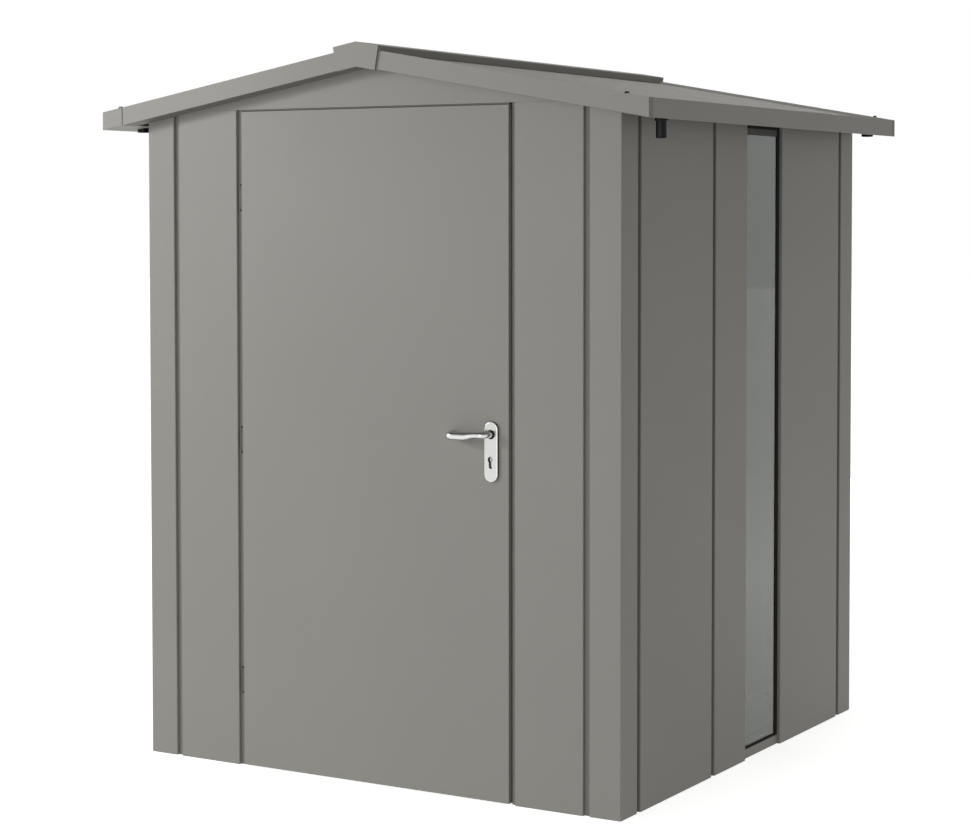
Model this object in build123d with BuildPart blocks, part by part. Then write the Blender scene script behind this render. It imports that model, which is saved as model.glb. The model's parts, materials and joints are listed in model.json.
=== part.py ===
from build123d import *
import math
import os

# Small gabled metal tool shed. Millimetres, Z up, front at -Y, ridge along Y, ground at Z = 0.
# Walls: the door leaf fills what the corners, grooves and side panels leave of the front
shed_width = 1650.0
shed_depth = 1650.0
wall_height = 1986.0
wall_thickness = 30.0
corner_leg = 98.5
groove_width = 20.0
groove_depth = 10.0
door_side_panel_width = 220.0
# Roof
roof_pitch_deg = 10.0
roof_sheet_thickness = 14.0
eave_overhang = 121.0
verge_overhang = 70.0
verge_height = 55.0
verge_board = 20.0
verge_stand = 7.7
ridge_cap_width = 158.0
ridge_cap_rise = 23.0
ridge_cap_sheet = 5.5
peak_plate_thickness = 2.5
peak_plate_drop = 2.0
# Gutters and their outlets
gutter_width = 77.0
gutter_sheet = 3.0
spout_diameter = 31.0
spout_bore = 25.0
spout_drop = 47.0
outlet_inset = 76.0
flange_diameter = 38.0
flange_drop = 4.0
# Light strip in the right wall
window_sill_height = 29.0
window_head_height = 42.0
window_header_height = 21.0
gasket_width = 8.7
seal_width = 20.0
pane_thickness = 4.0
# Door, frame and inner rails
door_thickness = 40.0
head_gap = 6.0
side_gap = 6.0
ground_gap = 3.0
stop_gap = 6.0
stop_lap = 22.0
stop_thickness = 30.0
rail_width = 40.0
rail_height = 40.0
top_rail_height = 50.0
anchor_hole_diameter = 9.0
purlin_width = 50.0
purlin_depth = 80.0
# Door furniture
handle_height = 1051.0
lock_backset = 54.5
handle_plate_length = 172.0
handle_plate_width = 44.0
handle_plate_thickness = 8.0
lock_spacing = 72.0
lock_diameter = 17.0
spindle_diameter = 10.0
spindle_hole_diameter = 28.0
lever_reach = 124.0
lever_bar_diameter = 22.0
lever_projection = 35.0
lever_bend = 18.0
lever_end_gap = 8.0
bearing_clearance = 0.05
# Hinges
hinge_barrel_diameter = 8.0
hinge_barrel_length = 60.0
hinge_barrel_gap = 6.0
hinge_pin_diameter = 4.0
hinge_strap = 3.0
hinge_set_back = 3.0

# Shares of the sizes that they follow
anchor_place_share = 0.6
roof_into_gutter_share = 0.4
pane_set_share = 0.8
spindle_from_plate_top_share = 0.215
neck_seat_share = 0.75
hinge_height_shares = (0.13, 0.5, 0.87)

# Derived sizes
front_grooves = 4
side_panels = 3
side_grooves = side_panels + 1
door_width = shed_width - 2 * corner_leg - front_grooves * groove_width - 2 * door_side_panel_width
wall_panel_width = (shed_depth - 2 * corner_leg - side_grooves * groove_width) / side_panels
half_w = shed_width / 2
half_d = shed_depth / 2
inner_w = half_w - wall_thickness
inner_d = half_d - wall_thickness
rear_panel_width = (shed_width - 2 * corner_leg - side_grooves * groove_width) / side_panels
half_panel = (wall_panel_width - groove_width) / 2
strip_thickness = wall_thickness - groove_depth
overrun = wall_thickness
pitch = math.radians(roof_pitch_deg)
slope = math.tan(pitch)
sheet_rise = roof_sheet_thickness / math.cos(pitch)
eave_x = half_w + eave_overhang
gutter_x = eave_x - gutter_width
verge_y = half_d + verge_overhang
sheet_y = verge_y - verge_board


def underside(x):
    return wall_height + (half_w - x) * slope


def roof_top(x):
    return underside(x) + sheet_rise


def verge_top(x):
    return roof_top(x) + verge_stand


def verge_foot(x):
    return verge_top(x) - verge_height


os.makedirs("parts", exist_ok=True)

# Corner pieces: a bent angle at each corner
corner_places = (
    ("corner_front_left", -1, -1),
    ("corner_front_right", 1, -1),
    ("corner_rear_left", -1, 1),
    ("corner_rear_right", 1, 1),
)
for corner_name, sx, sy in corner_places:
    with BuildPart() as corner:
        with BuildSketch():
            with Locations((sx * (half_w - corner_leg / 2), sy * (half_d - wall_thickness / 2))):
                Rectangle(corner_leg, wall_thickness)
            with Locations((sx * (half_w - wall_thickness / 2), sy * (half_d - corner_leg / 2))):
                Rectangle(wall_thickness, corner_leg)
        extrude(amount=wall_height)
    corner.part.label = corner_name
    export_step(corner.part, "parts/" + corner_name + ".step")

# Wall panels: flat cassettes with a groove between neighbours
side_panel_x = half_w - corner_leg - groove_width - door_side_panel_width / 2
front_wall_y = half_d - wall_thickness / 2
side_wall_x = half_w - wall_thickness / 2
panel_step_d = wall_panel_width + groove_width
panel_step_w = rear_panel_width + groove_width

with BuildPart() as front_wall_panels:
    with BuildSketch():
        with Locations((-side_panel_x, -front_wall_y), (side_panel_x, -front_wall_y)):
            Rectangle(door_side_panel_width, wall_thickness)
    extrude(amount=wall_height)
front_wall_panels.part.label = "front_wall_panels"
export_step(front_wall_panels.part, "parts/front_wall_panels.step")

half_panel_y = -wall_panel_width / 2 + half_panel / 2
with BuildPart() as right_wall_panels:
    with BuildSketch():
        with Locations((side_wall_x, -panel_step_d), (side_wall_x, panel_step_d)):
            Rectangle(wall_thickness, wall_panel_width)
        with Locations((side_wall_x, half_panel_y)):
            Rectangle(wall_thickness, half_panel)
    extrude(amount=wall_height)
right_wall_panels.part.label = "right_wall_panels"
export_step(right_wall_panels.part, "parts/right_wall_panels.step")

with BuildPart() as left_wall_panels:
    with BuildSketch():
        with Locations((-side_wall_x, -panel_step_d), (-side_wall_x, 0), (-side_wall_x, panel_step_d)):
            Rectangle(wall_thickness, wall_panel_width)
    extrude(amount=wall_height)
left_wall_panels.part.label = "left_wall_panels"
export_step(left_wall_panels.part, "parts/left_wall_panels.step")

with BuildPart() as rear_wall_panels:
    with BuildSketch():
        with Locations((-panel_step_w, front_wall_y), (0, front_wall_y), (panel_step_w, front_wall_y)):
            Rectangle(rear_panel_width, wall_thickness)
    extrude(amount=wall_height)
rear_wall_panels.part.label = "rear_wall_panels"
export_step(rear_wall_panels.part, "parts/rear_wall_panels.step")

# Joint strips: the recessed floors of the grooves; beside the door they stop short of the leaf
outer_groove_d = half_d - corner_leg - groove_width / 2
inner_groove_d = wall_panel_width / 2 + groove_width / 2
outer_groove_w = half_w - corner_leg - groove_width / 2
inner_groove_w = rear_panel_width / 2 + groove_width / 2
lip_width = groove_width - side_gap
lip_x = door_width / 2 + side_gap + lip_width / 2
strip_x = inner_w + strip_thickness / 2
strip_y = inner_d + strip_thickness / 2

with BuildPart() as front_joint_strips:
    with BuildSketch():
        with Locations((-outer_groove_w, -strip_y), (outer_groove_w, -strip_y)):
            Rectangle(groove_width, strip_thickness)
        with Locations((-lip_x, -strip_y), (lip_x, -strip_y)):
            Rectangle(lip_width, strip_thickness)
    extrude(amount=wall_height)
front_joint_strips.part.label = "front_joint_strips"
export_step(front_joint_strips.part, "parts/front_joint_strips.step")

with BuildPart() as right_joint_strips:
    with BuildSketch():
        with Locations((strip_x, -outer_groove_d), (strip_x, -inner_groove_d), (strip_x, outer_groove_d)):
            Rectangle(strip_thickness, groove_width)
    extrude(amount=wall_height)
right_joint_strips.part.label = "right_joint_strips"
export_step(right_joint_strips.part, "parts/right_joint_strips.step")

with BuildPart() as left_joint_strips:
    with BuildSketch():
        with Locations((-strip_x, -outer_groove_d), (-strip_x, -inner_groove_d)):
            Rectangle(strip_thickness, groove_width)
        with Locations((-strip_x, inner_groove_d), (-strip_x, outer_groove_d)):
            Rectangle(strip_thickness, groove_width)
    extrude(amount=wall_height)
left_joint_strips.part.label = "left_joint_strips"
export_step(left_joint_strips.part, "parts/left_joint_strips.step")

with BuildPart() as rear_joint_strips:
    with BuildSketch():
        with Locations((-outer_groove_w, strip_y), (-inner_groove_w, strip_y)):
            Rectangle(groove_width, strip_thickness)
        with Locations((inner_groove_w, strip_y), (outer_groove_w, strip_y)):
            Rectangle(groove_width, strip_thickness)
    extrude(amount=wall_height)
rear_joint_strips.part.label = "rear_joint_strips"
export_step(rear_joint_strips.part, "parts/rear_joint_strips.step")

# Gables: triangular sheets that stand on the front and rear walls
for gable_name, gable_y in (("gable_front", -inner_d), ("gable_rear", half_d)):
    with BuildPart() as gable:
        with BuildSketch(Plane.XZ.offset(-gable_y)):
            with BuildLine():
                Polyline((-half_w, wall_height), (half_w, wall_height), (0, underside(0)), close=True)
            make_face()
        extrude(amount=wall_thickness)
    gable.part.label = gable_name
    export_step(gable.part, "parts/" + gable_name + ".step")

# Door frame: jambs and head behind the wall, with a stop all round the leaf
leaf_half = door_width / 2
leaf_back = half_d - door_thickness
leaf_top = wall_height - head_gap
frame_outer = leaf_half + groove_width + rail_width
frame_top = wall_height + rail_width
stop_front = leaf_back - stop_gap
stop_back = stop_front - stop_thickness
with BuildPart() as door_frame:
    with BuildSketch(Plane.XZ.offset(stop_front)):
        with Locations((0, frame_top / 2)):
            Rectangle(2 * frame_outer, frame_top)
        with Locations((0, wall_height / 2)):
            Rectangle(2 * (leaf_half + groove_width), wall_height, mode=Mode.SUBTRACT)
    extrude(amount=inner_d - stop_front)
    with BuildSketch(Plane.XZ.offset(stop_back)):
        with Locations((0, frame_top / 2)):
            Rectangle(2 * frame_outer, frame_top)
        with Locations((0, (leaf_top - stop_lap) / 2)):
            Rectangle(2 * (leaf_half - stop_lap), leaf_top - stop_lap, mode=Mode.SUBTRACT)
    extrude(amount=stop_front - stop_back)
door_frame.part.label = "door_frame"
export_step(door_frame.part, "parts/door_frame.step")

# Base rails: an angle ring inside the foot of the walls, open at the doorway, with anchor holes
anchor_x = inner_w - rail_width / 2
anchor_y = inner_d * anchor_place_share
with BuildPart() as base_rails:
    with BuildSketch():
        Rectangle(2 * inner_w, 2 * inner_d)
        Rectangle(2 * (inner_w - rail_width), 2 * (inner_d - rail_width), mode=Mode.SUBTRACT)
        with Locations((0, -inner_d)):
            Rectangle(2 * frame_outer, 2 * (rail_width + overrun), mode=Mode.SUBTRACT)
        with GridLocations(2 * anchor_x, 2 * anchor_y, 2, 2):
            Circle(anchor_hole_diameter / 2, mode=Mode.SUBTRACT)
    extrude(amount=rail_height)
base_rails.part.label = "base_rails"
export_step(base_rails.part, "parts/base_rails.step")

# Top rails carry the roof along the side walls
top_rail_foot = wall_height - top_rail_height
rail_in = inner_w - rail_width
with BuildPart() as top_rails:
    with BuildSketch(Plane.XZ.offset(-inner_d)):
        with BuildLine():
            Polyline(
                (rail_in, top_rail_foot), (inner_w, top_rail_foot),
                (inner_w, underside(inner_w)), (rail_in, underside(rail_in)), close=True,
            )
        make_face()
        with BuildLine():
            Polyline(
                (-rail_in, top_rail_foot), (-inner_w, top_rail_foot),
                (-inner_w, underside(inner_w)), (-rail_in, underside(rail_in)), close=True,
            )
        make_face()
    extrude(amount=2 * inner_d)
top_rails.part.label = "top_rails"
export_step(top_rails.part, "parts/top_rails.step")

# Ridge purlin between the gables
purlin_half = purlin_width / 2
purlin_foot = underside(0) - purlin_depth
with BuildPart() as ridge_purlin:
    with BuildSketch(Plane.XZ.offset(-inner_d)):
        with BuildLine():
            Polyline(
                (-purlin_half, purlin_foot), (purlin_half, purlin_foot),
                (purlin_half, underside(purlin_half)), (0, underside(0)),
                (-purlin_half, underside(purlin_half)), close=True,
            )
        make_face()
    extrude(amount=2 * inner_d)
ridge_purlin.part.label = "ridge_purlin"
export_step(ridge_purlin.part, "parts/ridge_purlin.step")

# Roof sheets: one smooth slope each, dripping into the gutter
roof_edge = gutter_x + gutter_width * roof_into_gutter_share
for roof_name, side in (("roof_sheet_left", -1), ("roof_sheet_right", 1)):
    with BuildPart() as roof_sheet:
        with BuildSketch(Plane.XZ.offset(-sheet_y)):
            with BuildLine():
                Polyline(
                    (0, underside(0)), (side * roof_edge, underside(roof_edge)),
                    (side * roof_edge, roof_top(roof_edge)), (0, roof_top(0)), close=True,
                )
            make_face()
        extrude(amount=2 * sheet_y)
    roof_sheet.part.label = roof_name
    export_step(roof_sheet.part, "parts/" + roof_name + ".step")

# Ridge cap: a shallow hood with turned-down lips that stand on the sheets
cap_half = ridge_cap_width / 2
cap_inner = cap_half - ridge_cap_sheet


def cap_top(x):
    return roof_top(x) + ridge_cap_rise


with BuildPart() as ridge_cap:
    with BuildSketch(Plane.XZ.offset(-sheet_y)):
        with BuildLine():
            Polyline(
                (cap_half, roof_top(cap_half)), (cap_half, cap_top(cap_half)), (0, cap_top(0)),
                (-cap_half, cap_top(cap_half)), (-cap_half, roof_top(cap_half)),
                (-cap_inner, roof_top(cap_inner)), (-cap_inner, cap_top(cap_inner) - ridge_cap_sheet),
                (0, cap_top(0) - ridge_cap_sheet), (cap_inner, cap_top(cap_inner) - ridge_cap_sheet),
                (cap_inner, roof_top(cap_inner)), close=True,
            )
        make_face()
    extrude(amount=2 * sheet_y)
ridge_cap.part.label = "ridge_cap"
export_step(ridge_cap.part, "parts/ridge_cap.step")

# Ridge ends: a closing block over the verges and a plate across their joint
plate_tall = cap_top(cap_half) - verge_foot(cap_half) + peak_plate_drop
plate_in = cap_half - plate_tall * math.sin(pitch) * math.cos(pitch)
for end_name, block_y, plate_y in (
    ("ridge_end_front", -sheet_y, -verge_y),
    ("ridge_end_rear", verge_y, verge_y + peak_plate_thickness),
):
    with BuildPart() as ridge_end:
        with BuildSketch(Plane.XZ.offset(-block_y)):
            with BuildLine():
                Polyline(
                    (-cap_half, verge_top(cap_half)), (0, verge_top(0)), (cap_half, verge_top(cap_half)),
                    (cap_half, cap_top(cap_half)), (0, cap_top(0)), (-cap_half, cap_top(cap_half)),
                    close=True,
                )
            make_face()
        extrude(amount=verge_board)
        with BuildSketch(Plane.XZ.offset(-plate_y)):
            with BuildLine():
                Polyline(
                    (-plate_in, verge_foot(plate_in) - peak_plate_drop), (0, verge_foot(0) - peak_plate_drop),
                    (plate_in, verge_foot(plate_in) - peak_plate_drop), (cap_half, cap_top(cap_half)),
                    (0, cap_top(0)), (-cap_half, cap_top(cap_half)), close=True,
                )
            make_face()
        extrude(amount=peak_plate_thickness)
    ridge_end.part.label = end_name
    export_step(ridge_end.part, "parts/" + end_name + ".step")

# Verges: a fascia with a boxed ledge back to the wall, which the roof sheet rests on
verge_places = (
    ("verge_front_left", -1, -sheet_y, -half_d),
    ("verge_front_right", 1, -sheet_y, -half_d),
    ("verge_rear_left", -1, verge_y, sheet_y),
    ("verge_rear_right", 1, verge_y, sheet_y),
)
for verge_name, side, board_y, ledge_y in verge_places:
    with BuildPart() as verge:
        with BuildSketch(Plane.XZ.offset(-board_y)):
            with BuildLine():
                Polyline(
                    (0, verge_foot(0)), (side * gutter_x, verge_foot(gutter_x)),
                    (side * gutter_x, verge_top(gutter_x)), (0, verge_top(0)), close=True,
                )
            make_face()
        extrude(amount=verge_board)
        with BuildSketch(Plane.XZ.offset(-ledge_y)):
            with BuildLine():
                Polyline(
                    (0, verge_foot(0)), (side * gutter_x, verge_foot(gutter_x)),
                    (side * gutter_x, underside(gutter_x)), (0, underside(0)), close=True,
                )
            make_face()
        extrude(amount=verge_overhang - verge_board)
    verge.part.label = verge_name
    export_step(verge.part, "parts/" + verge_name + ".step")

# Gutters: sloped-floor troughs under the drip edges, each drained at one end
gutter_in = gutter_x + gutter_sheet
gutter_out = eave_x - gutter_sheet
outlet_x = eave_x - gutter_width / 2
outlet_y = half_d - outlet_inset
gutter_sides = (
    ("gutter_walls_left", "gutter_floor_left", -1),
    ("gutter_walls_right", "gutter_floor_right", 1),
)
for walls_name, floor_name, side in gutter_sides:
    with BuildPart() as gutter_walls:
        with BuildSketch(Plane.XZ.offset(-sheet_y)):
            with BuildLine():
                Polyline(
                    (side * gutter_out, verge_foot(gutter_out)), (side * eave_x, verge_foot(eave_x)),
                    (side * eave_x, verge_top(eave_x)), (side * gutter_out, verge_top(eave_x)), close=True,
                )
            make_face()
            with BuildLine():
                Polyline(
                    (side * gutter_x, verge_foot(gutter_x)), (side * gutter_in, verge_foot(gutter_in)),
                    (side * gutter_in, underside(gutter_in)), (side * gutter_x, underside(gutter_x)),
                    close=True,
                )
            make_face()
        extrude(amount=2 * sheet_y)
    gutter_walls.part.label = walls_name
    export_step(gutter_walls.part, "parts/" + walls_name + ".step")
    with BuildPart() as gutter_floor:
        with BuildSketch(Plane.XZ.offset(-sheet_y)):
            with BuildLine():
                Polyline(
                    (side * gutter_in, verge_foot(gutter_in)), (side * gutter_out, verge_foot(gutter_out)),
                    (side * gutter_out, verge_foot(gutter_out) + gutter_sheet),
                    (side * gutter_in, verge_foot(gutter_in) + gutter_sheet), close=True,
                )
            make_face()
        extrude(amount=2 * sheet_y)
        with BuildSketch(Plane.XY.offset(verge_foot(eave_x) - overrun)):
            with Locations((side * outlet_x, -side * outlet_y)):
                Circle(spout_bore / 2)
        extrude(amount=verge_height + overrun, mode=Mode.SUBTRACT)
    gutter_floor.part.label = floor_name
    export_step(gutter_floor.part, "parts/" + floor_name + ".step")

# Gutter end caps carry the verge line on to the outer edge
for caps_name, side in (("gutter_caps_left", -1), ("gutter_caps_right", 1)):
    with BuildPart() as gutter_caps:
        for cap_y in (-sheet_y, verge_y):
            with BuildSketch(Plane.XZ.offset(-cap_y)):
                with BuildLine():
                    Polyline(
                        (side * gutter_x, verge_foot(gutter_x)), (side * eave_x, verge_foot(eave_x)),
                        (side * eave_x, verge_top(eave_x)), (side * gutter_x, verge_top(gutter_x)),
                        close=True,
                    )
                make_face()
            extrude(amount=verge_board)
    gutter_caps.part.label = caps_name
    export_step(gutter_caps.part, "parts/" + caps_name + ".step")

# Rain spouts at the drained ends and blind plugs at the others
flange_foot = verge_foot(eave_x) - flange_drop
with BuildPart() as rain_spouts:
    for side in (-1, 1):
        with BuildSketch(Plane.XY.offset(flange_foot)):
            with Locations((side * outlet_x, -side * outlet_y)):
                Circle(flange_diameter / 2)
        extrude(amount=verge_height)
        with BuildSketch(Plane.XY.offset(flange_foot - spout_drop)):
            with Locations((side * outlet_x, -side * outlet_y)):
                Circle(spout_diameter / 2)
        extrude(amount=spout_drop)
        with BuildSketch(Plane.XY.offset(flange_foot - spout_drop - overrun)):
            with Locations((side * outlet_x, -side * outlet_y)):
                Circle(spout_bore / 2)
        extrude(amount=spout_drop + verge_height + 2 * overrun, mode=Mode.SUBTRACT)
        with BuildSketch(Plane.XZ.offset(-verge_y)):
            with BuildLine():
                Polyline(
                    (side * gutter_x, verge_foot(gutter_x)), (side * eave_x, verge_foot(eave_x)),
                    (side * eave_x, verge_top(gutter_x) + overrun),
                    (side * gutter_x, verge_top(gutter_x) + overrun), close=True,
                )
            make_face()
        extrude(amount=2 * verge_y, mode=Mode.SUBTRACT)
rain_spouts.part.label = "rain_spouts"
export_step(rain_spouts.part, "parts/rain_spouts.step")

with BuildPart() as outlet_plugs:
    for side in (-1, 1):
        with BuildSketch(Plane.XY.offset(flange_foot)):
            with Locations((side * outlet_x, side * outlet_y)):
                Circle(flange_diameter / 2)
        extrude(amount=verge_height)
        with BuildSketch(Plane.XZ.offset(-verge_y)):
            with BuildLine():
                Polyline(
                    (side * gutter_x, verge_foot(gutter_x)), (side * eave_x, verge_foot(eave_x)),
                    (side * eave_x, verge_top(gutter_x) + overrun),
                    (side * gutter_x, verge_top(gutter_x) + overrun), close=True,
                )
            make_face()
        extrude(amount=2 * verge_y, mode=Mode.SUBTRACT)
outlet_plugs.part.label = "outlet_plugs"
export_step(outlet_plugs.part, "parts/outlet_plugs.step")

# Light strip in the right wall: sill and head rails, gasket ring, pane and a bar over the pane
window_front = -wall_panel_width / 2 + half_panel
window_rear = wall_panel_width / 2 + groove_width
window_w = window_rear - window_front
window_y = (window_front + window_rear) / 2
window_head_foot = wall_height - window_head_height
pane_front = window_front + gasket_width
pane_rear = window_rear - seal_width
pane_y = (pane_front + pane_rear) / 2
pane_w = pane_rear - pane_front
header_top = window_head_foot - gasket_width
header_foot = header_top - window_header_height
pane_foot = window_sill_height + gasket_width
pane_x = inner_w + strip_thickness * pane_set_share

with BuildPart() as window_rails:
    with BuildSketch():
        with Locations((strip_x, window_y)):
            Rectangle(strip_thickness, window_w)
    extrude(amount=window_sill_height)
    with BuildSketch(Plane.XY.offset(window_head_foot)):
        with Locations((strip_x, window_y)):
            Rectangle(strip_thickness, window_w)
    extrude(amount=wall_height - window_head_foot)
window_rails.part.label = "window_rails"
export_step(window_rails.part, "parts/window_rails.step")

with BuildPart() as window_gasket:
    with BuildSketch(Plane.XY.offset(window_sill_height)):
        with Locations((strip_x, window_y)):
            Rectangle(strip_thickness, window_w)
    extrude(amount=window_head_foot - window_sill_height)
    with BuildSketch(Plane.XY.offset(pane_foot)):
        with Locations((strip_x, pane_y)):
            Rectangle(strip_thickness + overrun, pane_w)
    extrude(amount=header_top - pane_foot, mode=Mode.SUBTRACT)
window_gasket.part.label = "window_gasket"
export_step(window_gasket.part, "parts/window_gasket.step")

with BuildPart() as window_pane:
    with BuildSketch(Plane.XY.offset(pane_foot)):
        with Locations((pane_x, pane_y)):
            Rectangle(pane_thickness, pane_w)
    extrude(amount=header_foot - pane_foot)
window_pane.part.label = "window_pane"
export_step(window_pane.part, "parts/window_pane.step")

with BuildPart() as window_header:
    with BuildSketch(Plane.XY.offset(header_foot)):
        with Locations((strip_x, pane_y)):
            Rectangle(strip_thickness, pane_w)
    extrude(amount=window_header_height)
window_header.part.label = "window_header"
export_step(window_header.part, "parts/window_header.step")

# Door leaf, flush with the wall, bored for the spindle and the lock
handle_x = leaf_half - lock_backset
cylinder_z = handle_height - lock_spacing
leaf_y = (half_d + leaf_back) / 2
with BuildPart() as door_leaf:
    with BuildSketch(Plane.XY.offset(ground_gap)):
        with Locations((0, -leaf_y)):
            Rectangle(door_width, door_thickness)
    extrude(amount=leaf_top - ground_gap)
    with BuildSketch(Plane.XZ.offset(leaf_back - overrun)):
        with Locations((handle_x, handle_height)):
            Circle(spindle_hole_diameter / 2)
        with Locations((handle_x, cylinder_z)):
            Circle(lock_diameter / 2)
    extrude(amount=door_thickness + 2 * overrun, mode=Mode.SUBTRACT)
door_leaf.part.label = "door_leaf"
export_step(door_leaf.part, "parts/door_leaf.step")

# Handle plates on both faces and the lock cylinder through them
plate_z = handle_height + handle_plate_length * (spindle_from_plate_top_share - 1 / 2)
bar_radius = lever_bar_diameter / 2
inner_plate_face = leaf_back - handle_plate_thickness
for plate_name, plate_back in (("handle_plate_outer", half_d), ("handle_plate_inner", inner_plate_face)):
    with BuildPart() as handle_plate:
        with BuildSketch(Plane.XZ.offset(plate_back)):
            with Locations((handle_x, plate_z)):
                SlotOverall(handle_plate_length, handle_plate_width, rotation=90)
            with Locations((handle_x, handle_height)):
                Circle(bar_radius + bearing_clearance, mode=Mode.SUBTRACT)
            with Locations((handle_x, cylinder_z)):
                Circle(lock_diameter / 2, mode=Mode.SUBTRACT)
        extrude(amount=handle_plate_thickness)
    handle_plate.part.label = plate_name
    export_step(handle_plate.part, "parts/" + plate_name + ".step")

with BuildPart() as lock_cylinder:
    with BuildSketch(Plane.XZ.offset(inner_plate_face)):
        with Locations((handle_x, cylinder_z)):
            Circle(lock_diameter / 2)
    extrude(amount=door_thickness + 2 * handle_plate_thickness)
lock_cylinder.part.label = "lock_cylinder"
export_step(lock_cylinder.part, "parts/lock_cylinder.step")

# Lever handles: bars bent back towards the leaf, whose necks run in the plates, on one spindle
neck_seat = handle_plate_thickness * neck_seat_share
outer_plate_face = half_d + handle_plate_thickness
for lever_name, way, plate_face, leaf_face in (
    ("lever_outer", 1, outer_plate_face, half_d),
    ("lever_inner", -1, inner_plate_face, leaf_back),
):
    neck_y = -(plate_face - way * neck_seat)
    bar_y = -(plate_face + way * lever_projection)
    tip_y = -(leaf_face + way * lever_end_gap)
    tip_x = handle_x - lever_reach
    with BuildPart() as lever:
        with BuildLine(Plane.XY.offset(handle_height)):
            FilletPolyline(
                (handle_x, neck_y), (handle_x, bar_y), (tip_x, bar_y), (tip_x, tip_y), radius=lever_bend,
            )
        with BuildSketch(Plane.XZ.offset(-neck_y)):
            with Locations((handle_x, handle_height)):
                Circle(bar_radius)
        sweep()
    lever.part.label = lever_name
    export_step(lever.part, "parts/" + lever_name + ".step")

spindle_back = inner_plate_face + neck_seat
with BuildPart() as lever_spindle:
    with BuildSketch(Plane.XZ.offset(spindle_back)):
        with Locations((handle_x, handle_height)):
            Circle(spindle_diameter / 2)
    extrude(amount=outer_plate_face - neck_seat - spindle_back)
lever_spindle.part.label = "lever_spindle"
export_step(lever_spindle.part, "parts/lever_spindle.step")

# Hinges hidden in the left door groove: bored knuckles on the leaf, pinned knuckles on the wall panel
pivot_x = -(leaf_half + groove_width / 2)
pivot_y = -(half_d - hinge_set_back)
strap_w = groove_width / 2
leaf_tall = leaf_top - ground_gap
with BuildPart() as door_hinges:
    for hinge_share in hinge_height_shares:
        knuckle_foot = ground_gap + leaf_tall * hinge_share - hinge_barrel_length / 2
        with BuildSketch(Plane.XY.offset(knuckle_foot)):
            with Locations((pivot_x, pivot_y)):
                Circle(hinge_barrel_diameter / 2)
            with Locations((pivot_x + strap_w / 2, pivot_y)):
                Rectangle(strap_w, hinge_strap)
            with Locations((pivot_x, pivot_y)):
                Circle(hinge_pin_diameter / 2 + bearing_clearance, mode=Mode.SUBTRACT)
        extrude(amount=hinge_barrel_length)
door_hinges.part.label = "door_hinges"
export_step(door_hinges.part, "parts/door_hinges.step")

with BuildPart() as frame_hinges:
    for hinge_share in hinge_height_shares:
        knuckle_mid = ground_gap + leaf_tall * hinge_share
        upper_foot = knuckle_mid + hinge_barrel_length / 2 + hinge_barrel_gap
        lower_foot = knuckle_mid - hinge_barrel_length - hinge_barrel_gap
        for knuckle_foot in (lower_foot, upper_foot):
            with BuildSketch(Plane.XY.offset(knuckle_foot)):
                with Locations((pivot_x, pivot_y)):
                    Circle(hinge_barrel_diameter / 2)
                with Locations((pivot_x - strap_w / 2, pivot_y)):
                    Rectangle(strap_w, hinge_strap)
            extrude(amount=hinge_barrel_length / 2)
        with BuildSketch(Plane.XY.offset(lower_foot)):
            with Locations((pivot_x, pivot_y)):
                Circle(hinge_pin_diameter / 2)
        extrude(amount=upper_foot - lower_foot)
frame_hinges.part.label = "frame_hinges"
export_step(frame_hinges.part, "parts/frame_hinges.step")
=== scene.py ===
import json
import math

import bmesh
import bpy
from mathutils import Matrix, Vector


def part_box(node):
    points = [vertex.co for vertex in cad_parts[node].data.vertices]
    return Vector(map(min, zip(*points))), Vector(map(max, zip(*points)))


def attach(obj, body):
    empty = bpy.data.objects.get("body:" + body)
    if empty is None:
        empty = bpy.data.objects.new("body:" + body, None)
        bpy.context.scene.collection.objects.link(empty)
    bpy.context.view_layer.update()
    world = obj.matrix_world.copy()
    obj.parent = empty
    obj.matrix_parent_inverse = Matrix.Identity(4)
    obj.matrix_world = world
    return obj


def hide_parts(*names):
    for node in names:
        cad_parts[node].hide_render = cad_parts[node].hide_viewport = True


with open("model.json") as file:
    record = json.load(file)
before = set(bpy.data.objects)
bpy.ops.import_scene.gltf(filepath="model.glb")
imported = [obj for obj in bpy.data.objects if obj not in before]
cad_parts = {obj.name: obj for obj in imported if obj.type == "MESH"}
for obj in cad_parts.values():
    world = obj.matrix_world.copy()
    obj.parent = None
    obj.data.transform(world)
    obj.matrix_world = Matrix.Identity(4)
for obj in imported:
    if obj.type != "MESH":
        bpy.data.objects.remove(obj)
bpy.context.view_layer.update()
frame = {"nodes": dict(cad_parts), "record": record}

# Base rails: an angle ring inside the foot of the walls, open at the doorway, with four anchor holes.
# Folded from hot-dip galvanised steel and screwed to the wall panels from the inside.
MM = 0.001
RAIL_EDGE = 1.5 * MM
MERGE = 0.02 * MM
SHARP_ANGLE = 35
FLAT_ANGLE = 1


def linear(hex_text):
    channels = [int(hex_text[place:place + 2], 16) / 255 for place in (1, 3, 5)]
    return [c / 12.92 if c <= 0.04045 else ((c + 0.055) / 1.055) ** 2.4 for c in channels] + [1.0]


def add_node(tree, kind, sockets=None, **settings):
    made = tree.nodes.new(kind)
    for setting, value in settings.items():
        setattr(made, setting, value)
    for socket, value in (sockets or {}).items():
        for source in value if isinstance(value, list) else [value]:
            if isinstance(source, bpy.types.NodeSocket):
                tree.links.new(source, made.inputs[socket])
            else:
                made.inputs[socket].default_value = value
    return made


def new_finish(name):
    finish = bpy.data.materials.new(name)
    finish.use_nodes = True
    finish.node_tree.nodes.clear()
    spot = add_node(finish.node_tree, "ShaderNodeTexCoord").outputs["Object"]
    return finish, finish.node_tree, spot


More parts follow.
